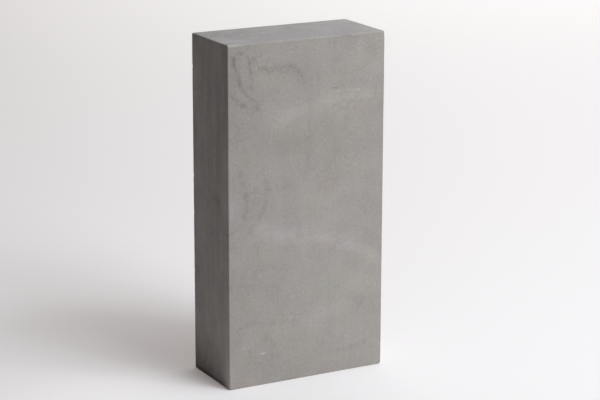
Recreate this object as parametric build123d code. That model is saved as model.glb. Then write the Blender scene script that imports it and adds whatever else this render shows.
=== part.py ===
from build123d import *
import math
import os

# A sawn stone brick that stands on one of its two small ends.
# Z runs up its length, X across its broad faces and Y through its thickness.
# The origin is the middle of the end that it stands on.
# The broad face at -Y is the front, and the narrow side at -X is the left one.

# Sawn size, in millimetres
length = 220.0
width = 110.0
thickness = 50.0

# Radius of the eased arrises, the edges between two sawn faces
arris_radius = 0.5

# Below, wear is the depth of a dish beyond the easing, and reach is how far
# the dish runs along its arris, each way from its middle.

# An ordinary corner, and the radius of the ball that dishes each corner
corner_wear = 0.1
corner_ball_radius = 3.5

# The two corners at the right of the front face, which are knocked further back
top_right_corner_wear = 0.3
foot_right_corner_wear = 0.35

# Rubbed start of the top front arris, at its left end
front_rub_reach = 12.0
front_rub_wear = 0.35

# Rubbed top of the front right arris
right_rub_reach = 4.5
right_rub_wear = 0.4

# Nick in the rear left arris
nick_below_top = 21.0
nick_reach = 1.2
nick_wear = 0.4

# Depth of the easing itself, from where the sharp arris or the sharp corner would be
eased_arris_depth = arris_radius * (math.sqrt(2) - 1)
eased_corner_depth = arris_radius * 2 / math.sqrt(3)

LEFT, RIGHT = -1, 1
FRONT, REAR = -1, 1
FOOT, TOP = -1, 1


def corner_point(side, depth_side, end):
    """The sharp corner where a narrow side, a broad face and an end would meet."""
    return Vector(
        side * width / 2,
        depth_side * thickness / 2,
        length if end == TOP else 0,
    )


def ball(point, outward, radius, depth):
    """A ball that reaches this deep into the block at a point on its surface."""
    centre = point + outward.normalized() * (radius - depth)
    return Pos(*centre) * Sphere(radius)


def corner_dish(side, depth_side, end, wear):
    """The ball that dishes one corner."""
    return ball(
        corner_point(side, depth_side, end),
        Vector(side, depth_side, end),
        corner_ball_radius,
        eased_corner_depth + wear,
    )


def arris_dish(point, outward, reach, wear):
    """The ball that leaves a dish of this reach and wear on an arris."""
    radius = (reach**2 + wear**2) / (2 * wear)
    return ball(point, outward, radius, eased_arris_depth + wear)


def sawn_block():
    """The block as it leaves the saw, with its arrises eased."""
    block = Box(
        width, thickness, length, align=(Align.CENTER, Align.CENTER, Align.MIN)
    )
    return fillet(block.edges(), arris_radius)


def worn_corners():
    """A shallow dish at each of the eight corners."""
    deeper_wear = {
        (RIGHT, FRONT, TOP): top_right_corner_wear,
        (RIGHT, FRONT, FOOT): foot_right_corner_wear,
    }
    return [
        corner_dish(*corner, deeper_wear.get(corner, corner_wear))
        for corner in (
            (side, depth_side, end)
            for side in (LEFT, RIGHT)
            for depth_side in (FRONT, REAR)
            for end in (FOOT, TOP)
        )
    ]


def worn_arrises():
    """The two rubbed stretches and the nick."""
    front_rub = arris_dish(
        corner_point(LEFT, FRONT, TOP),
        Vector(0, FRONT, TOP),
        front_rub_reach,
        front_rub_wear,
    )
    right_rub = arris_dish(
        corner_point(RIGHT, FRONT, TOP),
        Vector(RIGHT, FRONT, 0),
        right_rub_reach,
        right_rub_wear,
    )
    nick = arris_dish(
        corner_point(LEFT, REAR, TOP) - Vector(0, 0, nick_below_top),
        Vector(LEFT, REAR, 0),
        nick_reach,
        nick_wear,
    )
    return [front_rub, right_rub, nick]


def stone_brick():
    """The whole brick, one solid."""
    brick = sawn_block()
    for dish in worn_corners() + worn_arrises():
        brick = brick - dish
    return brick


os.makedirs("parts", exist_ok=True)
export_step(stone_brick(), "parts/brick.step")
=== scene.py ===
import itertools
import math
import random

import bpy
import numpy as np
from mathutils import Matrix, Vector, noise


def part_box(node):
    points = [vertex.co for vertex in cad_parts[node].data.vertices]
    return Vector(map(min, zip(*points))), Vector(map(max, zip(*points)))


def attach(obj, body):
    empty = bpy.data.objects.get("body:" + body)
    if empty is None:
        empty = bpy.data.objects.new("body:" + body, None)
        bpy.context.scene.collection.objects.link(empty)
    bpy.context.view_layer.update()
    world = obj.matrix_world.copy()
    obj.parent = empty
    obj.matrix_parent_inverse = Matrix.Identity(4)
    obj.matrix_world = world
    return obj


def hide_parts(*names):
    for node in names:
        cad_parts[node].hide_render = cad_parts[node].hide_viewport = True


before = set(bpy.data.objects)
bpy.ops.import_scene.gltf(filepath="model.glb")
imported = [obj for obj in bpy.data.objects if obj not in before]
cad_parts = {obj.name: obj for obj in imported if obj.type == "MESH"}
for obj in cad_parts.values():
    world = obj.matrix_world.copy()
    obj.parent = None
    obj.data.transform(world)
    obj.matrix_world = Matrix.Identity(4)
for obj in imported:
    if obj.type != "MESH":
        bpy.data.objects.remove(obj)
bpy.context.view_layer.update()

# A sawn stone brick that stands on end, seen from in front and a little from its left.
# Lengths and places are in millimetres, as on the brick itself, unless a name says metres.
METRE = 1000.0

low, high = (np.array(corner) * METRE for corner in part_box("brick"))
middle = (low + high) / 2
size = high - low

# The corners are named by the way that each axis points there.
LEFT, RIGHT = -1, 1
FRONT, REAR = -1, 1
FOOT, TOP = -1, 1

# Each face, by the axis that it looks along and the side of the block that it lies on
SIDES = (-1, 1)
FACES = tuple(itertools.product(range(3), SIDES))

# Easing of the arrises, the edges between two sawn faces, and how uneven it is
ARRIS_RADIUS = 0.5
ARRIS_UNEVENNESS = 0.3
ARRIS_UNEVENNESS_SIZE = 9.0

# Lattice that the block's surface is cut into: the largest cell, and the steps across it
CELL_SIZE = 1.375
STEPS_PER_CELL = 4

MARKS_SEED = 5
random_marks = random.Random(MARKS_SEED)


# Camera and studio

# The yaw turns the view from +Y towards +X and the pitch tips it down; lens and sensor are in
# millimetres
CAMERA_PLACE_METRES = (-0.59818, -1.12017, 0.4477)
CAMERA_YAW = math.radians(28.436)
CAMERA_PITCH = math.radians(14.834)
CAMERA_ROLL = math.radians(0.162)
CAMERA_LENS = 123.66
SENSOR_WIDTH = 36.0

view_right = Vector((math.cos(CAMERA_YAW), -math.sin(CAMERA_YAW), 0))
towards_viewer = Vector((-math.sin(CAMERA_YAW), -math.cos(CAMERA_YAW), 0))

# Each soft light: turn from the viewer's right towards the viewer and rise above the floor,
# in radians; distance from the brick and side of the square, in metres; watts and colour
LIGHTS = {
    "key": (0.50, 0.85, 2.40, 0.70, 19.2, (1.0, 1.0, 1.0)),
    "key_front": (0.80, 0.60, 2.40, 0.70, 16.5, (1.0, 1.0, 1.0)),
    "key_high": (0.70, 1.10, 0.80, 0.50, 2.35, (0.985, 1.0, 1.02)),
    "fill_right": (-0.20, 0.60, 2.50, 3.00, 24.7, (1.01, 1.0, 0.99)),
    "fill_back": (-1.40, 0.60, 2.50, 3.00, 30.0, (1.05, 1.0, 0.965)),
}


def make_camera():
    """The camera that sees the brick as the photo does."""
    data = bpy.data.cameras.new("camera")
    data.sensor_width = SENSOR_WIDTH
    data.lens = CAMERA_LENS
    camera = bpy.data.objects.new("camera", data)
    camera.matrix_world = (
        Matrix.Translation(CAMERA_PLACE_METRES)
        @ Matrix.Rotation(-CAMERA_YAW, 4, "Z")
        @ Matrix.Rotation(math.pi / 2 - CAMERA_PITCH, 4, "X")
        @ Matrix.Rotation(CAMERA_ROLL, 4, "Z")
    )
    bpy.context.scene.collection.objects.link(camera)
    bpy.context.scene.camera = camera


def make_light(name, turn, rise, distance, side, watts, colour):
    """A square soft light that faces the middle of the brick."""
    data = bpy.data.lights.new(name, "AREA")
    data.shape = "SQUARE"
    data.size = side
    data.energy = watts
    data.color = colour
    level = view_right * math.cos(turn) + towards_viewer * math.sin(turn)
    away = level * math.cos(rise) + Vector((0, 0, math.sin(rise)))
    light = bpy.data.objects.new(name, data)
    light.location = Vector(middle) / METRE + away * distance
    light.rotation_euler = away.to_track_quat("Z", "Y").to_euler()
    bpy.context.scene.collection.objects.link(light)


# A noise texture's values lie mostly within this range, about this middle, and each step of a
# seed shifts the texture by this many millimetres
TEXTURE_RANGE = (0.25, 0.75)
TEXTURE_MIDDLE = (0.5, 0.5, 0.5)
TEXTURE_SHIFT = (13.7, 29.3, 41.9)


class Nodes:
    """Short calls that add nodes to one node tree and join them up."""

    def __init__(self, tree):
        self.tree = tree

    def add(self, kind, inputs=None, **settings):
        """A new node of this kind, with these inputs and settings."""
        node = self.tree.nodes.new("ShaderNode" + kind)
        for name, value in settings.items():
            setattr(node, name, value)
        for name, value in (inputs or {}).items():
            self.put(node.inputs[name], value)
        return node

    def put(self, socket, value):
        """Link an output to this socket, or write a plain value on it."""
        if isinstance(value, bpy.types.NodeSocket):
            self.tree.links.new(value, socket)
        else:
            socket.default_value = value

    def maths(self, operation, *values):
        """What this operation makes of the numbers."""
        node = self.add("Math", operation=operation)
        for socket, value in zip(node.inputs, values):
            self.put(socket, value)
        return node.outputs[0]

    def total(self, *values):
        """All the numbers added up."""
        result = values[0]
        for value in values[1:]:
            result = self.maths("ADD", result, value)
        return result

    def product(self, *values):
        """All the numbers multiplied."""
        result = values[0]
        for value in values[1:]:
            result = self.maths("MULTIPLY", result, value)
        return result

    def vector(self, operation, *values):
        """What this operation makes of the vectors or colours."""
        node = self.add("VectorMath", operation=operation)
        for socket, value in zip(node.inputs, values):
            self.put(socket, value)
        one_number = operation in ("DOT_PRODUCT", "DISTANCE", "LENGTH")
        return node.outputs["Value" if one_number else "Vector"]

    def scaled(self, vector, factor):
        """The vector, or colour, times one number."""
        node = self.add("VectorMath", operation="SCALE")
        self.put(node.inputs[0], vector)
        self.put(node.inputs["Scale"], factor)
        return node.outputs["Vector"]

    def ramp(self, value, start, end, at_start, at_end, kind="SMOOTHSTEP"):
        """A value that runs from at_start to at_end while another runs from start to end."""
        inputs = {
            "Value": value, "From Min": start, "From Max": end, "To Min": at_start, "To Max": at_end,
        }
        return self.add("MapRange", inputs, interpolation_type=kind).outputs["Result"]

    def parts(self, vector):
        """The three numbers of a vector."""
        return self.add("SeparateXYZ", {"Vector": vector}).outputs

    def mottle(self, place, bump_size, seed, detail=2.0):
        """Smooth noise about 0, mostly within 1 each way, with bumps of this size."""
        inputs = {
            "Vector": self.vector("ADD", place, tuple(seed * step for step in TEXTURE_SHIFT)),
            "Scale": 1 / bump_size,
            "Detail": detail,
        }
        return self.ramp(self.add("TexNoise", inputs).outputs[0], *TEXTURE_RANGE, -1, 1, "LINEAR")

    def cloud(self, place, strength, **noise_settings):
        """Smooth noise about 0, mostly within this strength each way."""
        return self.product(self.mottle(place, **noise_settings), strength)

    def noise_line(self, place, fades_at, strength, **noise_settings):
        """This strength along the lines where a noise crosses nought, faded at this noise."""
        distance = self.maths("ABSOLUTE", self.mottle(place, **noise_settings))
        return self.ramp(distance, 0, fades_at, strength, 0)

    def noise_ramp(self, place, values=(-1, 1), results=(0, 1), kind="LINEAR", **noise_settings):
        """A value that runs over the results while a noise runs over the values."""
        return self.ramp(self.mottle(place, **noise_settings), *values, *results, kind)

    def between(self, share, first, second):
        """The colour this share of the way from the first colour to the second."""
        node = self.add("Mix", data_type="RGBA", clamp_factor=True)
        self.put(node.inputs["Factor"], share)
        self.put(node.inputs["A"], first)
        self.put(node.inputs["B"], second)
        return node.outputs["Result"]


def new_material(name):
    """A material with the short calls for its nodes, and its shader."""
    material = bpy.data.materials.new(name)
    material.use_nodes = True
    return material, Nodes(material.node_tree), material.node_tree.nodes["Principled BSDF"]


FLOOR_HALF_WIDTH_METRES = 8.0
FLOOR_ROUGHNESS = 0.9
FLOOR_SPECULAR = 0.2

# The colour that throws light back on the brick
FLOOR_BOUNCE = (0.845, 0.8, 0.805, 1)

# What the camera alone sees: the colour, a faint glow, which is painted light that lifts and
# warms the floor's shadow, and the shade that the colour is multiplied by, a painted shading for
# the fall-off of the light across the floor. The shade has a value at the brick, and changes for
# each metre to the right and away, and for each square metre sideways.
FLOOR_COLOUR = (0.959, 0.99, 1.026)
FLOOR_GLOW = 0.179
FLOOR_GLOW_COLOUR = (1.16, 1.0, 0.96, 1)
FLOOR_SHADE = 0.658
FLOOR_SHADE_LEAST = 0.4
FLOOR_SHADE_MOST = 1.0
FLOOR_SHADE_PER_METRE_RIGHT = 0.184
FLOOR_SHADE_PER_METRE_AWAY = 0.208
FLOOR_SHADE_AT_SIDES = -0.353

# Painted light on the paper by the brick's left foot, which lifts the shadow there: right and
# away from the middle, how far it fades out each way, all in metres, and how much paler it is
PAINTED_LIGHT_PATCH = (-0.10, -0.08)
PAINTED_LIGHT_PATCH_REACH = (0.13, 0.10)
PAINTED_LIGHT_PATCH_AMOUNT = 0.126


def floor_material():
    """Matt paper; only the camera sees its painted shading, lighter to the right and further away."""
    material, nodes, shader = new_material("floor")
    place = nodes.add("TexCoord").outputs["Object"]
    across = nodes.vector("DOT_PRODUCT", place, view_right)
    away = nodes.vector("DOT_PRODUCT", place, -towards_viewer)
    sideways = nodes.maths("DIVIDE", nodes.maths("SUBTRACT", across, PAINTED_LIGHT_PATCH[0]), PAINTED_LIGHT_PATCH_REACH[0])
    back = nodes.maths("DIVIDE", nodes.maths("SUBTRACT", away, PAINTED_LIGHT_PATCH[1]), PAINTED_LIGHT_PATCH_REACH[1])
    from_patch = nodes.vector("LENGTH", nodes.add("CombineXYZ", {"X": sideways, "Y": back}).outputs[0])
    # Painted shading for the fall-off of the light across the floor
    shade = nodes.total(
        # Painted light that lifts the shadow by the brick's left foot
        nodes.ramp(from_patch, 0, 1, PAINTED_LIGHT_PATCH_AMOUNT, 0),
        nodes.product(across, FLOOR_SHADE_PER_METRE_RIGHT),
        nodes.product(across, across, FLOOR_SHADE_AT_SIDES),
        nodes.product(away, FLOOR_SHADE_PER_METRE_AWAY),
        FLOOR_SHADE,
    )
    shade = nodes.maths("MINIMUM", nodes.maths("MAXIMUM", shade, FLOOR_SHADE_LEAST), FLOOR_SHADE_MOST)
    seen = nodes.add("LightPath").outputs["Is Camera Ray"]
    tinted = nodes.scaled(FLOOR_COLOUR, shade)
    nodes.put(shader.inputs["Base Color"], nodes.between(seen, FLOOR_BOUNCE, tinted))
    # A faint glow for the camera: painted light that lifts and warms the floor's shadow
    nodes.put(shader.inputs["Emission Strength"], nodes.product(seen, FLOOR_GLOW))
    shader.inputs["Emission Color"].default_value = FLOOR_GLOW_COLOUR
    shader.inputs["Roughness"].default_value = FLOOR_ROUGHNESS
    shader.inputs["Specular IOR Level"].default_value = FLOOR_SPECULAR
    return material


def make_floor():
    """The level sheet of paper that the brick stands on."""
    reach = FLOOR_HALF_WIDTH_METRES
    mesh = bpy.data.meshes.new("floor")
    corners = [(-reach, -reach, 0), (reach, -reach, 0), (reach, reach, 0), (-reach, reach, 0)]
    mesh.from_pydata(corners, [], [(0, 1, 2, 3)])
    mesh.materials.append(floor_material())
    floor = bpy.data.objects.new("floor", mesh)
    bpy.context.scene.collection.objects.link(floor)


# Brightness and colour of the wall past the floor
WORLD_SEEN = 0.8
WORLD_COLOUR = (1, 1, 1, 1)


def make_world():
    """No light of its own, but a pale wall where the camera looks past the floor."""
    world = bpy.data.worlds.new("studio")
    world.use_nodes = True
    nodes = Nodes(world.node_tree)
    seen = nodes.add("LightPath").outputs["Is Camera Ray"]
    background = world.node_tree.nodes["Background"]
    background.inputs["Color"].default_value = WORLD_COLOUR
    nodes.put(background.inputs["Strength"], nodes.product(seen, WORLD_SEEN))
    bpy.context.scene.world = world


# Wear: every mark is a ball that takes a shallow dish out of the block

# Every corner, and the two that are knocked further back
CORNER_BALL_RADIUS = 3.5
CORNER_WEAR = 0.1
DEEPER_CORNERS = {
    (RIGHT, FRONT, TOP): 0.3,
    (RIGHT, FRONT, FOOT): 0.35,
}

# Reach along the arris and depth of the rubbed stretches and the nick
FRONT_RUB = (12.0, 0.35)
RIGHT_RUB = (4.5, 0.4)
NICK = (1.2, 0.4)
NICK_BELOW_TOP = 21.0

# Small chips along every arris: their mean spacing and how it varies, the reach and wear of the
# faintest and the strongest, and how much they lean to either face
CHIP_SPACING = 8.0
CHIP_SPACING_VARIES = (0.2, 1.8)
CHIP_REACH = (0.4, 1.6)
CHIP_WEAR = (0.03, 0.2)
CHIP_LEAN = (0.5, 1.5)

# Pits in the faces: the area for each, how far from the face's middle they lie as a share of its
# width and height, and the reach and depth of the faintest and the strongest
FACE_AREA_PER_PIT = 2400.0
PIT_SPREAD = 0.47
PIT_REACH = (0.35, 0.9)
PIT_DEPTH = (0.06, 0.2)

# Powers of an even chance, which keep most chips and pits faint
CHIP_REACH_POWER = 1.5
CHIP_WEAR_POWER = 3
PIT_POWER = 2


def face_axes(axis):
    """The two axes that run across and up a face that looks along this axis."""
    return (axis + 1) % 3, (axis + 2) % 3


def corner_point(side, depth_side, end):
    """The sharp corner where a narrow side, a broad face and an end would meet."""
    return middle + size / 2 * (side, depth_side, end)


def ball(point, outward, radius, depth):
    """Centre and radius of a ball that reaches this deep into the block at a point on its surface."""
    outward = np.array(outward, dtype=float)
    return point + outward / np.linalg.norm(outward) * (radius - depth), radius


def dish(point, outward, reach, wear):
    """The ball that leaves a dish of this reach and wear, on a face or an eased arris."""
    outward = np.array(outward, dtype=float)
    # How deep the eased surface lies under the point this way; nought on a face
    easing = ARRIS_RADIUS * (np.abs(outward / np.linalg.norm(outward)).sum() - 1)
    return ball(point, outward, (reach**2 + wear**2) / (2 * wear), easing + wear)


def worn_corners():
    """A shallow dish at each of the eight corners."""
    # How deep under the sharp corner the eased one meets the three faces
    eased_depth = ARRIS_RADIUS * 2 / math.sqrt(3)
    for corner in itertools.product((LEFT, RIGHT), (FRONT, REAR), (FOOT, TOP)):
        wear = DEEPER_CORNERS.get(corner, CORNER_WEAR)
        yield ball(corner_point(*corner), corner, CORNER_BALL_RADIUS, eased_depth + wear)


def worn_arrises():
    """The two rubbed stretches and the nick."""
    yield dish(corner_point(LEFT, FRONT, TOP), (0, FRONT, TOP), *FRONT_RUB)
    yield dish(corner_point(RIGHT, FRONT, TOP), (RIGHT, FRONT, 0), *RIGHT_RUB)
    yield dish(corner_point(LEFT, REAR, TOP) - (0, 0, NICK_BELOW_TOP), (LEFT, REAR, 0), *NICK)


def arrises():
    """The axis, the two outward sides and the middle of each of the twelve arrises."""
    for axis, across_side, up_side in itertools.product(range(3), SIDES, SIDES):
        across, up = face_axes(axis)
        sides = np.zeros(3)
        sides[across] = across_side
        sides[up] = up_side
        yield axis, sides, middle + size / 2 * sides


def part_way(limits, share):
    """The number this share of the way from the first limit to the last."""
    return limits[0] + (limits[1] - limits[0]) * share


def arris_chips():
    """Small chips of uneven spacing, mostly faint ones, leaning to either face."""
    for axis, sides, centre in arrises():
        along = -size[axis] / 2
        while True:
            along += CHIP_SPACING * random_marks.uniform(*CHIP_SPACING_VARIES)
            if along > size[axis] / 2:
                break
            strength = random_marks.random()
            lean = np.array([random_marks.uniform(*CHIP_LEAN) for _ in range(3)])
            point = centre.copy()
            point[axis] += along
            reach = part_way(CHIP_REACH, strength**CHIP_REACH_POWER)
            wear = part_way(CHIP_WEAR, strength**CHIP_WEAR_POWER)
            yield dish(point, sides * lean, reach, wear)


def face_pits():
    """Small pits scattered over the six faces."""
    for axis, side in FACES:
        across, up = face_axes(axis)
        for _ in range(round(size[across] * size[up] / FACE_AREA_PER_PIT)):
            point = middle.copy()
            point[axis] += side * size[axis] / 2
            point[across] += size[across] * random_marks.uniform(-PIT_SPREAD, PIT_SPREAD)
            point[up] += size[up] * random_marks.uniform(-PIT_SPREAD, PIT_SPREAD)
            outward = np.zeros(3)
            outward[axis] = side
            strength = random_marks.random() ** PIT_POWER
            yield dish(point, outward, part_way(PIT_REACH, strength), part_way(PIT_DEPTH, strength))


# Dents of the dark speck and the pale bruise on the front face: x, z, reach and depth
SPECK_PLACE = (19.9, 186.9)
FRONT_DENTS = (
    (*SPECK_PLACE, 0.7, 0.25),
    (-32.1, 20.8, 0.9, 0.1),
    (-30.4, 21.1, 0.7, 0.1),
    (-27.5, 17.4, 0.6, 0.07),
)


def front_dents():
    """The dents that are listed one by one."""
    for x, z, reach, depth in FRONT_DENTS:
        yield dish(np.array([x, low[1], z]), (0, FRONT, 0), reach, depth)


# The block's mesh

# Slight hollows of the faces: size of their bumps, depth and seed
RELIEF = ((36.0, 0.03, 3), (6.0, 0.012, 4))

# How uneven the depth of a mark is, and the size of those bumps
MARK_ROUGHNESS = 0.35
MARK_ROUGHNESS_SIZE = 0.8

# The cells that are cut in four near an arris or a mark: their size in steps, and a margin
# beside the arris in millimetres. The two reaches are in widths of the cell.
CUTS = ((STEPS_PER_CELL, 0.5), (STEPS_PER_CELL // 2, 0.1))
ARRIS_CUT_REACH = 1.5
MARK_CUT_REACH = 0.8

# The depth of a mark that counts as fully worn, and how fast the painted highlight on an eased
# arris goes from nought at its rims to full at its crest
FULL_WEAR_DEPTH = 0.12
CREST_HIGHLIGHT = 4

# Shift of the noise for each step of its seed, in bumps
NOISE_SHIFT = (7.1, 3.3, 5.7)

cells_each_way = np.round(size / CELL_SIZE).astype(int)
steps_each_way = cells_each_way * STEPS_PER_CELL
step_size = size / steps_each_way


def lattice_place(index):
    """Places, in millimetres on the sharp block, of points numbered in lattice steps."""
    return low + np.asarray(index) * step_size


def face_cells(axis, side):
    """Lattice corner of every large cell of one face of the block."""
    across, up = face_axes(axis)
    first, second = np.meshgrid(
        np.arange(cells_each_way[across]), np.arange(cells_each_way[up]), indexing="ij"
    )
    corner = np.zeros((first.size, 3), dtype=int)
    corner[:, axis] = steps_each_way[axis] if side > 0 else 0
    corner[:, across] = first.ravel() * STEPS_PER_CELL
    corner[:, up] = second.ravel() * STEPS_PER_CELL
    return corner


def arris_distance(places):
    """How far each place on the surface is from the nearest arris."""
    to_planes = np.minimum(places - low, high - places)
    return np.sort(to_planes, axis=1)[:, 1]


def mark_distance(places, marks):
    """How far each place is outside the nearest mark's ball."""
    nearest = np.full(len(places), np.inf)
    for centre, radius in marks:
        nearest = np.minimum(nearest, np.linalg.norm(places - centre, axis=1) - radius)
    return nearest


def split(corners, axis, cell, wanted):
    """Cut the wanted cells in four; return what stays whole and the new quarters."""
    across, up = face_axes(axis)
    quarters = []
    for first, second in itertools.product((0, 1), (0, 1)):
        quarter = corners[wanted].copy()
        quarter[:, across] += first * cell // 2
        quarter[:, up] += second * cell // 2
        quarters.append(quarter)
    return corners[~wanted], np.concatenate(quarters)


def surface_cells(marks):
    """Cells of all six faces, finer near the arrises and marks: axis, side, cell size, corners."""
    for axis, side in FACES:
        across, up = face_axes(axis)
        corners = face_cells(axis, side)
        for cell, margin in CUTS:
            centre = lattice_place(corners)
            centre[:, across] += cell / 2 * step_size[across]
            centre[:, up] += cell / 2 * step_size[up]
            width = cell * step_size.mean()
            wanted = arris_distance(centre) < width * ARRIS_CUT_REACH + margin
            wanted |= mark_distance(centre, marks) < width * MARK_CUT_REACH
            whole, corners = split(corners, axis, cell, wanted)
            yield axis, side, cell, whole
        yield axis, side, 1, corners


def rim_offsets(axis, side, cell):
    """Lattice steps round a cell's rim, in turn, anticlockwise seen from outside the block."""
    across, up = (np.eye(3, dtype=int)[way] for way in face_axes(axis))
    if side < 0:
        across, up = up, across
    walk = [across] * cell + [up] * cell + [-across] * cell + [-up] * cell
    return np.array([sum(walk[:count], np.zeros(3, dtype=int)) for count in range(4 * cell)])


def point_number(index):
    """One whole number for each lattice point."""
    rows, row_length = steps_each_way[1:] + 1
    return (index[..., 0] * rows + index[..., 1]) * row_length + index[..., 2]


def point_index(numbers):
    """The lattice steps of numbered points, the other way round from point_number."""
    rows, row_length = steps_each_way[1:] + 1
    plane, in_plane = np.divmod(numbers, rows * row_length)
    return np.stack([plane, *np.divmod(in_plane, row_length)], axis=1)


def lattice_mesh(marks):
    """Numbered points and polygons of the sharp block, whose neighbouring cells share every point.

    A cell with a finer neighbour has more than four points on its rim, and is a fan of
    triangles round its middle instead of one square.
    """
    groups = []
    for axis, side, cell, corners in surface_cells(marks):
        rims = point_number(corners[:, None, :] + rim_offsets(axis, side, cell)[None])
        groups.append((axis, cell, corners, rims))
    used = np.unique(np.concatenate([rims[:, ::cell].ravel() for _, cell, _, rims in groups]))
    polygons, middles = [], []
    for axis, cell, corners, rims in groups:
        to_middle = np.zeros(3, dtype=int)
        to_middle[list(face_axes(axis))] = cell // 2
        for rim, present, number in zip(rims, np.isin(rims, used), point_number(corners + to_middle)):
            loop = rim[present]
            if len(loop) == 4:
                polygons.append(loop)
                continue
            middles.append(number)
            polygons.extend((first, second, number) for first, second in zip(loop, np.roll(loop, -1)))
    return np.unique(np.concatenate([used, middles]).astype(int)), polygons


def smooth_noise(places, bump_size, seed):
    """Noise between -1 and 1 at each place, with bumps of this size."""
    shift = Vector([seed * step for step in NOISE_SHIFT])
    return np.array([noise.noise(Vector(place) + shift) for place in places / bump_size])


def eased(places):
    """The places moved in to the eased arrises, and the way out of the block at each."""
    unevenness = smooth_noise(places, ARRIS_UNEVENNESS_SIZE, seed=1)
    radius = (ARRIS_RADIUS * (1 + ARRIS_UNEVENNESS * unevenness))[:, None]
    core = np.clip(places, low + radius, high - radius)
    outward = places - core
    outward /= np.linalg.norm(outward, axis=1)[:, None]
    return core + outward * radius, outward


def mark_depth(places, outward, marks):
    """How deep each place has to go, straight in, to lie outside every mark's ball."""
    deepest = np.zeros(len(places))
    for centre, radius in marks:
        offset = places - centre
        room = radius**2 - (offset**2).sum(axis=1)
        inside = np.nonzero(room > 0)[0]
        along = (offset[inside] * outward[inside]).sum(axis=1)
        depth = along + np.sqrt(along**2 + room[inside])
        deepest[inside] = np.maximum(deepest[inside], depth)
    return deepest


def worn_block(marks):
    """Points in millimetres, polygons, and wear with a painted highlight on the arris crests."""
    numbers, polygons = lattice_mesh(marks)
    places, outward = eased(lattice_place(point_index(numbers)))
    roughness = 1 + MARK_ROUGHNESS * smooth_noise(places, MARK_ROUGHNESS_SIZE, seed=2)
    depth = mark_depth(places, outward, marks) * roughness
    relief = sum(
        hollow * (0.5 + 0.5 * smooth_noise(places, bump_size, seed))
        for bump_size, hollow, seed in RELIEF
    )
    crest = 1 - np.abs(outward).max(axis=1)
    # Wear of the marks, and a painted highlight on the crest of every eased arris
    wear = np.clip(np.maximum(depth / FULL_WEAR_DEPTH, crest * CREST_HIGHLIGHT), 0, 1)
    faces = [np.searchsorted(numbers, polygon).tolist() for polygon in polygons]
    return places - outward * (depth + relief)[:, None], faces, wear


def make_block():
    """The brick as one mesh, which stands for the CAD node."""
    marks = [*worn_corners(), *worn_arrises(), *arris_chips(), *face_pits(), *front_dents()]
    places, faces, wear = worn_block(marks)
    mesh = bpy.data.meshes.new("stone_block")
    mesh.from_pydata((places / METRE).tolist(), [], faces)
    mesh.shade_smooth()
    # Wear together with the painted arris highlight, which lightens the stone
    mesh.attributes.new("wear_and_highlight", "FLOAT", "POINT").data.foreach_set("value", wear.astype(np.float32))
    mesh.materials.append(stone_material())
    block = bpy.data.objects.new("stone_block", mesh)
    bpy.context.scene.collection.objects.link(block)
    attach(block, "root")
    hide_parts("brick")


# The stone

STONE_COLOUR = (0.318, 0.3075, 0.291)

# Veins and bands of the front face. Each runs up or across the face through (x, z) places.
# After the places: half width at its start and end, and how much it darkens the stone,
# below nought where it is paler.
VEINS = (
    # The dark vein down from the upper left corner, and its three branches
    ("up", ((-52.0, 216.0), (-51.4, 212.0), (-50.5, 208.0), (-49.0, 203.0), (-47.6, 197.5),
            (-45.0, 192.0), (-41.6, 187.8), (-37.0, 183.5), (-33.5, 177.0), (-32.3, 173.0)),
     (2.8, 2.0), 0.18),
    ("across", ((-48.5, 215.2), (-46.0, 214.2), (-42.5, 211.9), (-40.0, 208.5), (-38.8, 205.5)),
     (2.0, 2.0), 0.2),
    ("up", ((-39.6, 210.0), (-39.4, 202.0), (-39.0, 188.5)), (2.2, 2.4), 0.165),
    ("across", ((-40.0, 213.5), (-36.2, 208.6), (-33.5, 205.2), (-28.2, 202.6), (-20.4, 203.8),
                (-13.4, 203.8), (-7.7, 200.8), (-3.5, 195.5), (0.3, 187.0)), (2.3, 3.2), 0.15),
    # The short vein that meets it from the left arris
    ("across", ((-54.0, 189.0), (-48.5, 184.8), (-43.5, 182.0), (-40.0, 181.0)), (2.4, 2.4), 0.15),
    # The upper pale band
    ("across", ((-30.0, 165.0), (-8.0, 173.5), (7.0, 178.0), (25.0, 180.7), (40.7, 180.8), (54.0, 181.0)),
     (8.0, 2.8), -0.09),
    # The pale hairline below the dark speck
    ("across", ((14.0, 185.2), (20.1, 185.1), (25.1, 184.8), (30.2, 184.7), (34.5, 184.6), (39.5, 183.8)),
     (1.0, 0.8), -0.125),
    # The lower pale band
    ("across", ((-44.0, 103.0), (-36.5, 103.0), (-29.0, 99.5), (-17.0, 96.5), (-4.0, 94.0), (21.0, 88.0),
                (33.0, 83.0), (41.0, 79.0), (57.0, 70.0)), (10.0, 6.5), -0.115),
    # Two dark veins at the left of it, and two short ones to the left arris
    ("up", ((-47.0, 142.0), (-44.0, 130.3), (-42.6, 121.2), (-43.7, 108.0)), (2.7, 2.7), 0.165),
    ("up", ((-32.5, 146.0), (-30.5, 135.0), (-28.5, 125.6), (-31.0, 115.2), (-37.5, 104.5), (-44.5, 95.0)),
     (3.5, 3.1), 0.12),
    ("across", ((-56.5, 100.5), (-52.0, 102.2), (-49.0, 104.2), (-46.0, 109.0)), (1.6, 1.6), 0.13),
    ("across", ((-56.5, 90.5), (-52.0, 94.5), (-49.0, 97.8), (-45.0, 101.0)), (1.6, 1.6), 0.1),
    # The faint vein near the foot
    ("across", ((14.0, 13.8), (21.0, 14.0), (30.0, 14.6), (39.4, 16.4), (46.0, 18.4)), (1.8, 2.8), 0.13),
)

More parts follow.
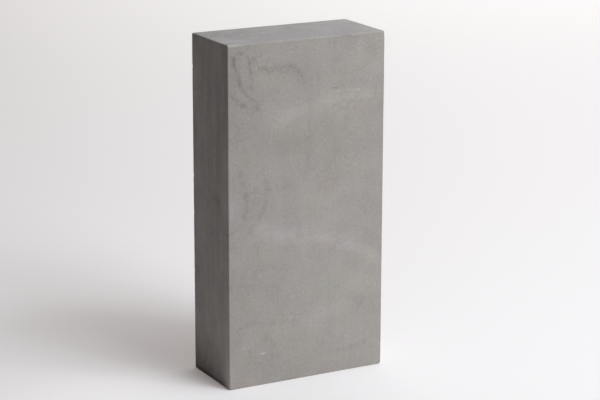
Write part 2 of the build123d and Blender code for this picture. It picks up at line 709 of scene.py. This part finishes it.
# How far the veins run in from the front face, the share of a vein over which each end fades,
# the strengths of its core and halo, the halo's width in core widths, and the least that a
# course is taken to stray sideways
VEIN_DEPTH = 9.0
VEIN_END_FADE = 0.12
VEIN_CORE = 0.65
VEIN_HALO = 0.35
VEIN_HALO_WIDTH = 2
VEIN_LEAST_STRAY = 1.0

# How a noise breaks up the dark veins and the pale bands: the noise's values, and the share of
# the strength that is left at each
VEIN_BREAKS = {"bump_size": 3.5, "seed": 11, "values": (-0.6, 0.5), "results": (0.1, 1.2)}
BAND_BREAKS = {"bump_size": 9.0, "seed": 12, "values": (-0.8, 0.8), "results": (0.8, 1.15)}

# Faint veins and pale bands away from the front face, where the veins show, and the depths
# behind the front face at which both start and are full
INNER_VEIN = {"bump_size": 70, "seed": 21, "fades_at": 0.07, "strength": 0.16}
INNER_VEIN_SHOWS = {"bump_size": 35, "seed": 22, "values": (-0.1, 0.4), "kind": "SMOOTHSTEP"}
INNER_BAND = {"bump_size": 110, "seed": 23, "fades_at": 0.16, "strength": -0.06}
INNER_DEPTH = (6, 14)

# Faint hairlines on all faces, and where they show
HAIRLINE = {"bump_size": 20, "seed": 31, "detail": 3, "fades_at": 0.12, "strength": 0.085}
HAIRLINE_SHOWS = {"bump_size": 24, "seed": 32, "values": (-0.1, 0.5), "kind": "SMOOTHSTEP"}

# Soft oval patches of three faces: the middle across and up the face (x and z, y and z,
# x and y), half width, half height and darkening
FRONT_PATCHES = (
    # The dark speck and its tail
    (*SPECK_PLACE, 1.3, 0.9, 0.45),
    (17.6, 187.1, 2.2, 0.7, 0.18),
    # Dark knots on the veins at the upper left
    (-44.4, 182.0, 3.4, 2.2, 0.15),
    (-51.0, 209.5, 2.4, 5.5, 0.21),
    (-28.2, 202.2, 3.5, 2.2, 0.08),
    # The pale bruise and the pale spots beside it
    (-31.7, 20.9, 2.3, 1.0, -0.46),
    (-29.9, 21.1, 1.8, 0.8, -0.25),
    (-45.3, 26.5, 1.8, 1.3, -0.14),
    (-27.2, 17.8, 1.9, 0.9, -0.13),
    # Soft clouds, broad and small
    (-57.0, 196.0, 22.0, 45.0, 0.09),
    (8.0, 155.0, 62.0, 17.0, 0.05),
    (-9.0, 154.0, 18.0, 8.0, 0.05),
    (-37.0, 151.0, 9.0, 12.0, 0.03),
    (10.0, 116.0, 24.0, 10.0, -0.045),
    (-2.0, 38.0, 34.0, 16.0, -0.045),
    (8.0, 3.0, 56.0, 14.0, 0.045),
    (-57.0, 10.0, 12.0, 30.0, -0.04),
    (-52.5, 116.0, 4.0, 13.0, -0.05),
    (-54.2, 66.5, 2.4, 3.6, 0.13),
    (-31.0, 40.0, 9.0, 20.0, 0.03),
    (-29.3, 31.5, 2.0, 6.0, 0.05),
    (19.5, 141.0, 1.3, 6.0, 0.05),
    (18.0, 42.5, 16.0, 7.0, -0.03),
    (-30.6, 78.5, 14.0, 6.0, 0.035),
    (17.2, 35.0, 3.5, 2.8, 0.06),
    (-20.0, 200.0, 20.0, 8.0, 0.03),
    (-38.0, 168.0, 15.0, 40.0, 0.075),
    (-51.0, 160.0, 8.0, 9.0, 0.06),
    (-34.0, 78.0, 16.0, 22.0, 0.03),
    (-38.0, 20.0, 14.0, 20.0, 0.02),
    (8.0, 118.0, 20.0, 40.0, -0.04),
    (6.0, 171.0, 9.0, 7.0, -0.075),
    (20.0, 185.0, 8.0, 7.0, 0.05),
    (-15.0, 88.0, 14.0, 6.0, 0.05),
    (14.0, 91.0, 14.0, 5.0, -0.035),
    (-50.0, 100.0, 6.0, 8.0, -0.06),
    (30.0, 51.0, 7.0, 7.0, 0.05),
    (22.0, 28.0, 8.0, 6.0, -0.05),
    (-6.0, 205.0, 9.0, 9.0, -0.04),
    (0.0, 70.0, 24.0, 22.0, -0.03),
    (-18.0, 57.0, 8.0, 9.0, -0.035),
    (26.0, 104.0, 12.0, 12.0, -0.035),
    (52.0, 116.0, 9.0, 10.0, -0.04),
    (36.0, 36.0, 18.0, 9.0, -0.04),
    (46.0, 195.0, 10.0, 10.0, -0.04),
    (40.0, 171.0, 18.0, 14.0, 0.045),
    (2.0, 22.0, 16.0, 12.0, -0.025),
    (-52.0, 140.0, 14.0, 30.0, 0.025),
    (-47.0, 60.0, 10.0, 26.0, 0.02),
    (54.0, 166.0, 8.0, 18.0, 0.05),
    (54.0, 30.0, 8.0, 40.0, 0.025),
    (53.0, 198.0, 7.0, 9.0, -0.04),
    (46.0, 210.5, 6.0, 6.5, 0.06),
    (36.7, 211.0, 2.2, 5.5, -0.05),
    # Small pale spots
    (37.4, 215.6, 2.4, 0.8, -0.12),
    (11.5, 178.7, 3.2, 1.2, -0.07),
    (50.5, 23.3, 1.3, 0.8, -0.12),
    (53.3, 23.2, 0.9, 0.8, -0.1),
    (37.2, 10.0, 3.0, 2.4, -0.06),
)
# On the left side, painted light and painted shade lie among the patches
LEFT_PATCHES_AND_PAINTED_LIGHT = (
    # Painted light low down beside the front arris, from the lit floor in front of the brick
    (-22.5, 30.0, 7.0, 55.0, -0.24),
    (-23.0, 4.0, 12.0, 20.0, -0.27),
    (-17.0, 22.0, 8.0, 30.0, -0.07),
    # Painted shade at the foot of the rear arris, beside the floor's shadow, and paler higher up
    (20.0, 7.0, 17.0, 22.0, 0.17),
    (21.0, 190.0, 8.0, 44.0, -0.2),
    # Soft clouds
    (-2.0, 203.0, 10.0, 32.0, 0.01),
    (0.0, 78.0, 40.0, 34.0, 0.022),
    (0.0, 34.0, 30.0, 16.0, -0.055),
    (-11.0, 130.0, 6.0, 80.0, 0.05),
    (4.0, 50.0, 17.0, 13.0, -0.06),
    (-4.0, 142.0, 8.0, 11.0, -0.05),
    (-14.5, 97.7, 3.0, 3.0, -0.15),
    (-3.0, 90.0, 6.0, 24.0, 0.05),
)
TOP_PATCHES = (
    (-42.0, 8.0, 46.0, 22.0, 0.11),
    (-58.0, 4.0, 14.0, 30.0, 0.04),
    (-14.0, 2.0, 14.0, 20.0, -0.02),
    (-42.0, -16.0, 11.0, 7.0, -0.12),
    (17.0, 10.0, 12.0, 5.0, -0.09),
    (15.0, -4.0, 14.0, 6.0, 0.03),
    (54.0, -14.0, 14.0, 13.0, -0.05),
    (54.0, 23.0, 16.0, 8.0, -0.04),
)

# How far a patch or a stain reaches in from its face
OVAL_DEPTH = 8.0

# The pale rubbed start of the top front arris, partly rubbed stone and partly a painted
# highlight: its middle, from the sharp corner at its left end, how far it fades out each way,
# and how much paler its middle is
RUB_FROM_CORNER = (3.0, 0.4, -0.4)
RUB_FADE = (12.0, 3.0, 2.0)
RUB_AND_HIGHLIGHT_LIGHTENING = 0.2

# Lightening of worn stone and of the painted highlight on the arris crests, and of each
# millimetre to the right and up: painted light to the right and painted shade upwards
WEAR_AND_HIGHLIGHT_LIGHTENING = 0.09
PAINTED_LIGHT_TO_RIGHT = 0.0009
PAINTED_LIGHT_UPWARDS = -0.00065

# Mottling from broad to fine, and how much stronger it is on the narrow sides and the ends
CLOUDS = (
    {"bump_size": 38, "seed": 1, "strength": 0.05},
    {"bump_size": 13, "seed": 2, "detail": 0, "strength": 0.034},
    {"bump_size": 4, "seed": 13, "strength": 0.025},
)
FINE_CLOUDS = {"bump_size": 1.4, "seed": 3, "detail": 3, "strength": 0.072}
CLOUDS_STRONGER_ON_SIDES = 0.15
CLOUDS_STRONGER_ON_ENDS = 0.25

# Upright saw streaks, the scale along each axis that draws them out, and their strength on the
# broad faces and on the narrow sides
STREAKS = (
    {"bump_size": 2.0, "seed": 4, "strength": 0.033},
    {"bump_size": 6.0, "seed": 5, "strength": 0.035},
)
STREAK_STRETCH = (1, 1, 0.08)
STREAK_STRENGTH = (0.5, 2.1)

# Grains: their size, the share of them that is dark, and again pale, and the most that each
# kind lightens
GRAIN_SIZE = 0.8
GRAIN_SHARE = 0.1
DARK_GRAIN = -0.1
PALE_GRAIN = 0.08

# Drift of the veins and clouds: size of its bumps, its detail, and how far along each axis
DRIFT_SIZE = 5.0
DRIFT_DETAIL = 3.0
DRIFT = (4.0, 0, 4.0)

# How squarely a place looks sideways or up, where a side or an end starts and where it is full
FACING_RANGE = (0.6, 0.9)

# Soft clouds of hue, each with the two tints that it runs between, and the tint of the ends:
# painted cool light and painted shade from above, which make them cooler and a little darker
NO_TINT = (1, 1, 1, 1)
PAINTED_END_TINT = (0.938, 0.945, 1.003, 1)
HUE_CLOUDS = (
    ({"bump_size": 15, "seed": 6, "detail": 0}, (1.006, 0.995, 1.009, 1), (0.994, 1.005, 0.991, 1)),
    ({"bump_size": 26, "seed": 14, "detail": 0}, (0.995, 1.0, 1.008, 1), (1.008, 1.0, 0.99, 1)),
)

# The matt surface, and the strength and height of its grit
STONE_ROUGHNESS = {"bump_size": 3.0, "seed": 7, "results": (0.62, 0.8)}
STONE_SPECULAR = 0.35
FINE_GRIT = {"bump_size": 0.5, "seed": 8, "detail": 3}
COARSE_GRIT = {"bump_size": 2.5, "seed": 9}
GRIT_STRENGTH = 0.35
GRIT_HEIGHT_METRES = 0.00004

# Faint stains of two faces, as soft ovals: the middle across and up the face, half width, half
# height and the tint of the middle
TOP_STAINS = (
    (-53.0, 0.0, 9.0, 14.0, (1.05, 0.99, 1.02, 1)),
    (-42.0, -12.0, 11.0, 8.0, (1.0, 1.0, 1.03, 1)),
    (-20.0, 7.0, 13.0, 9.0, (0.985, 1.005, 1.0, 1)),
    (18.0, 5.0, 16.0, 13.0, (1.025, 1.0, 0.975, 1)),
)
FRONT_STAINS = (
    (-14.0, 99.0, 38.0, 11.0, (1.0, 0.996, 1.048, 1)),
    (28.0, 84.0, 29.0, 11.0, (1.0, 0.996, 1.035, 1)),
    (15.0, 127.0, 11.0, 10.0, (1.056, 0.992, 0.972, 1)),
    (-8.0, 129.0, 8.0, 10.0, (1.03, 0.995, 0.98, 1)),
    (33.0, 175.0, 11.0, 7.0, (1.035, 0.995, 0.99, 1)),
    (3.0, 165.0, 8.0, 5.0, (1.032, 0.995, 0.982, 1)),
    (-43.0, 2.0, 22.0, 7.5, (1.055, 0.985, 0.975, 1)),
    (-53.0, 116.0, 11.0, 16.0, (0.998, 0.995, 1.045, 1)),
    (25.0, 56.0, 38.0, 14.0, (0.991, 1.003, 0.972, 1)),
    (22.0, 155.0, 40.0, 38.0, (0.994, 1.003, 0.978, 1)),
    (-4.0, 12.0, 26.0, 13.0, (0.991, 1.003, 0.978, 1)),
)


def vein_course(nodes, along, points):
    """Where a vein lies across its run, and how far along the run a place is, from 0 to 1."""
    offsets = [offset for _, offset in points]
    runs = [run for run, _ in points]
    start, end = min(runs), max(runs)
    lowest = min(offsets)
    reach = max(max(offsets) - lowest, VEIN_LEAST_STRAY)
    share = nodes.ramp(along, start, end, 0, 1, "LINEAR")
    curve = nodes.add("FloatCurve", {"Value": share})
    line = curve.mapping.curves[0]
    placed = sorted(((run - start) / (end - start), (offset - lowest) / reach) for run, offset in points)
    line.points[0].location = placed[0]
    line.points[1].location = placed[-1]
    for place in placed[1:-1]:
        line.points.new(*place)
    curve.mapping.update()
    return nodes.maths("MULTIPLY_ADD", curve.outputs[0], reach, lowest), share


def vein(nodes, x, z, unbroken, runs, points, half_widths, strength):
    """How much one vein darkens each place of the front face."""
    along, across = (z, x) if runs == "up" else (x, z)
    if runs == "up":
        points = [(up, sideways) for sideways, up in reversed(points)]
        half_widths = half_widths[::-1]
    course, share = vein_course(nodes, along, points)
    gap = nodes.maths("ABSOLUTE", nodes.maths("SUBTRACT", across, course))
    half_width = nodes.ramp(share, 0, 1, *half_widths, "LINEAR")
    relative = nodes.maths("DIVIDE", gap, half_width)
    core = nodes.ramp(relative, 0, 1, VEIN_CORE, 0)
    halo = nodes.ramp(relative, 0, VEIN_HALO_WIDTH, VEIN_HALO, 0)
    start = nodes.ramp(share, 0, VEIN_END_FADE, 0, 1)
    end = nodes.ramp(share, 1 - VEIN_END_FADE, 1, 1, 0)
    return nodes.product(nodes.total(core, halo), nodes.product(start, end), unbroken, strength)


def nearness(nodes, place, centre, reach, at_centre):
    """This much at the centre, which fades softly to nought at this reach along each axis."""
    offset = nodes.vector("SUBTRACT", place, centre)
    scaled = nodes.vector("DIVIDE", offset, reach)
    return nodes.ramp(nodes.vector("LENGTH", scaled), 0, 1, at_centre, 0)


def front_oval(x, z, half_width, half_height):
    """Middle and reach of a soft oval on the front face."""
    return (x, low[1], z), (half_width, OVAL_DEPTH, half_height)


def left_oval(y, z, half_width, half_height):
    """Middle and reach of a soft oval on the left side."""
    return (low[0], y, z), (OVAL_DEPTH, half_width, half_height)


def top_oval(x, y, half_width, half_height):
    """Middle and reach of a soft oval on the top."""
    return (x, y, high[2]), (half_width, half_height, OVAL_DEPTH)


def patches_and_painted_light(nodes, place, on_side, on_end):
    """Darkening by the soft patches of the front face, the left side and the top, with painted light and
    shade on the left.
    """
    front = [nearness(nodes, place, *front_oval(*oval), strength) for *oval, strength in FRONT_PATCHES]
    left = [nearness(nodes, place, *left_oval(*oval), strength) for *oval, strength in LEFT_PATCHES_AND_PAINTED_LIGHT]
    top = [nearness(nodes, place, *top_oval(*oval), strength) for *oval, strength in TOP_PATCHES]
    return nodes.total(
        *front,
        nodes.product(nodes.total(*left), on_side),
        nodes.product(nodes.total(*top), on_end),
    )


def front_veins(nodes, place, depth):
    """Darkening by the veins and bands of the front face, which end a little way in."""
    x, _, z = nodes.parts(place)
    of_veins = nodes.noise_ramp(place, **VEIN_BREAKS)
    of_bands = nodes.noise_ramp(place, **BAND_BREAKS)
    every = []
    for runs, points, half_widths, strength in VEINS:
        unbroken = of_veins if strength > 0 else of_bands
        every.append(vein(nodes, x, z, unbroken, runs, points, half_widths, strength))
    return nodes.product(nodes.total(*every), nodes.ramp(depth, 0, VEIN_DEPTH, 1, 0))


def inner_veins(nodes, place, depth):
    """Faint thin veins and wide pale bands on the faces away from the front."""
    line = nodes.noise_line(place, **INNER_VEIN)
    shows = nodes.noise_ramp(place, **INNER_VEIN_SHOWS)
    band = nodes.noise_line(place, **INNER_BAND)
    both = nodes.total(nodes.product(line, shows), band)
    return nodes.product(both, nodes.ramp(depth, *INNER_DEPTH, 0, 1))


def hairlines(nodes, place):
    """Darkening by a web of thin lines that shows here and there on all faces."""
    line = nodes.noise_line(place, **HAIRLINE)
    return nodes.product(line, nodes.noise_ramp(place, **HAIRLINE_SHOWS))


def stone_grain(nodes, place):
    """Lightening by scattered pale grains, less the dark ones."""
    cells = nodes.add("TexVoronoi", {"Vector": place, "Scale": 1 / GRAIN_SIZE}).outputs["Color"]
    grain = nodes.add("SeparateColor", {"Color": cells}).outputs[0]
    dark = nodes.ramp(grain, 1 - GRAIN_SHARE, 1, 0, DARK_GRAIN)
    pale = nodes.ramp(grain, GRAIN_SHARE, 0, 0, PALE_GRAIN)
    return nodes.total(dark, pale)


def stone_mottling(nodes, place, drifted, on_side, on_end):
    """Lightening by cloudy mottling, with upright saw streaks that show most on the narrow sides."""
    upright = nodes.vector("MULTIPLY", place, STREAK_STRETCH)
    streaks = nodes.total(*(nodes.cloud(upright, **each) for each in STREAKS))
    broad_clouds = (nodes.cloud(drifted, **each) for each in CLOUDS)
    clouds = nodes.total(*broad_clouds, nodes.cloud(place, **FINE_CLOUDS))
    stronger = nodes.total(
        1.0,
        nodes.product(on_side, CLOUDS_STRONGER_ON_SIDES),
        nodes.product(on_end, CLOUDS_STRONGER_ON_ENDS),
    )
    return nodes.total(
        nodes.product(clouds, stronger),
        nodes.product(streaks, nodes.ramp(on_side, 0, 1, *STREAK_STRENGTH, "LINEAR")),
    )


def stone_tint(nodes, place, on_end):
    """Slight changes of hue: soft clouds, the stains, and painted cool light and shade on the ends."""
    tints = [
        nodes.between(nodes.noise_ramp(place, **hue_cloud), first, second)
        for hue_cloud, first, second in HUE_CLOUDS
    ]
    stains = [(top_oval(*oval), stain) for *oval, stain in TOP_STAINS]
    stains += [(front_oval(*oval), stain) for *oval, stain in FRONT_STAINS]
    for oval, stain in stains:
        tints.append(nodes.between(nearness(nodes, place, *oval, 1), NO_TINT, stain))
    # Painted cool light and shade on the two ends
    tints.append(nodes.between(on_end, NO_TINT, PAINTED_END_TINT))
    result = tints[0]
    for tint in tints[1:]:
        result = nodes.vector("MULTIPLY", result, tint)
    return result


def drifted_place(nodes, place):
    """The place, shifted a little by a noise, which makes what follows it wander."""
    inputs = {"Vector": place, "Scale": 1 / DRIFT_SIZE, "Detail": DRIFT_DETAIL}
    wobble = nodes.vector("SUBTRACT", nodes.add("TexNoise", inputs).outputs["Color"], TEXTURE_MIDDLE)
    return nodes.vector("ADD", place, nodes.vector("MULTIPLY", wobble, DRIFT))


def stone_tone(nodes, place, on_side, on_end):
    """How bright each place is, beside the stone's own colour, painted light and shade included."""
    x, y, z = nodes.parts(place)
    depth = nodes.maths("SUBTRACT", y, low[1])
    drifted = drifted_place(nodes, place)
    wear_and_highlight = nodes.add("Attribute", attribute_name="wear_and_highlight").outputs["Fac"]
    rub_place = corner_point(LEFT, FRONT, TOP) + RUB_FROM_CORNER
    lighter = nodes.total(
        1.0,
        stone_mottling(nodes, place, drifted, on_side, on_end),
        stone_grain(nodes, place),
        # Wear, and the painted highlight on the arris crests
        nodes.product(wear_and_highlight, WEAR_AND_HIGHLIGHT_LIGHTENING),
        # The rubbed start of the top front arris, with its painted highlight
        nearness(nodes, place, rub_place, RUB_FADE, RUB_AND_HIGHLIGHT_LIGHTENING),
        # Painted light to the right and painted shade upwards
        nodes.product(x, PAINTED_LIGHT_TO_RIGHT),
        nodes.product(nodes.maths("SUBTRACT", z, middle[2]), PAINTED_LIGHT_UPWARDS),
    )
    darker = nodes.total(
        front_veins(nodes, drifted, depth),
        patches_and_painted_light(nodes, place, on_side, on_end),
        inner_veins(nodes, drifted, depth),
        hairlines(nodes, place),
    )
    return nodes.maths("SUBTRACT", lighter, darker)


def stone_surface(nodes, shader, place):
    """How matt the stone is, and its fine grit."""
    nodes.put(shader.inputs["Roughness"], nodes.noise_ramp(place, **STONE_ROUGHNESS))
    shader.inputs["Specular IOR Level"].default_value = STONE_SPECULAR
    grit = nodes.total(nodes.mottle(place, **FINE_GRIT), nodes.mottle(place, **COARSE_GRIT))
    inputs = {"Strength": GRIT_STRENGTH, "Distance": GRIT_HEIGHT_METRES, "Height": grit}
    nodes.put(shader.inputs["Normal"], nodes.add("Bump", inputs).outputs["Normal"])


def stone_material():
    """Fine matt grey stone, mottled and veined."""
    material, nodes, shader = new_material("stone")
    coordinates = nodes.add("TexCoord")
    place = nodes.scaled(coordinates.outputs["Object"], METRE)
    facing = nodes.parts(nodes.vector("ABSOLUTE", coordinates.outputs["Normal"]))
    on_side = nodes.ramp(facing["X"], *FACING_RANGE, 0, 1)
    on_end = nodes.ramp(facing["Z"], *FACING_RANGE, 0, 1)
    colour = nodes.vector("MULTIPLY", stone_tint(nodes, place, on_end), STONE_COLOUR)
    tone = stone_tone(nodes, place, on_side, on_end)
    nodes.put(shader.inputs["Base Color"], nodes.scaled(colour, tone))
    stone_surface(nodes, shader, place)
    return material


bpy.context.scene.view_settings.view_transform = "Standard"
make_camera()
for light_name, light_values in LIGHTS.items():
    make_light(light_name, *light_values)
make_world()
make_floor()
make_block()
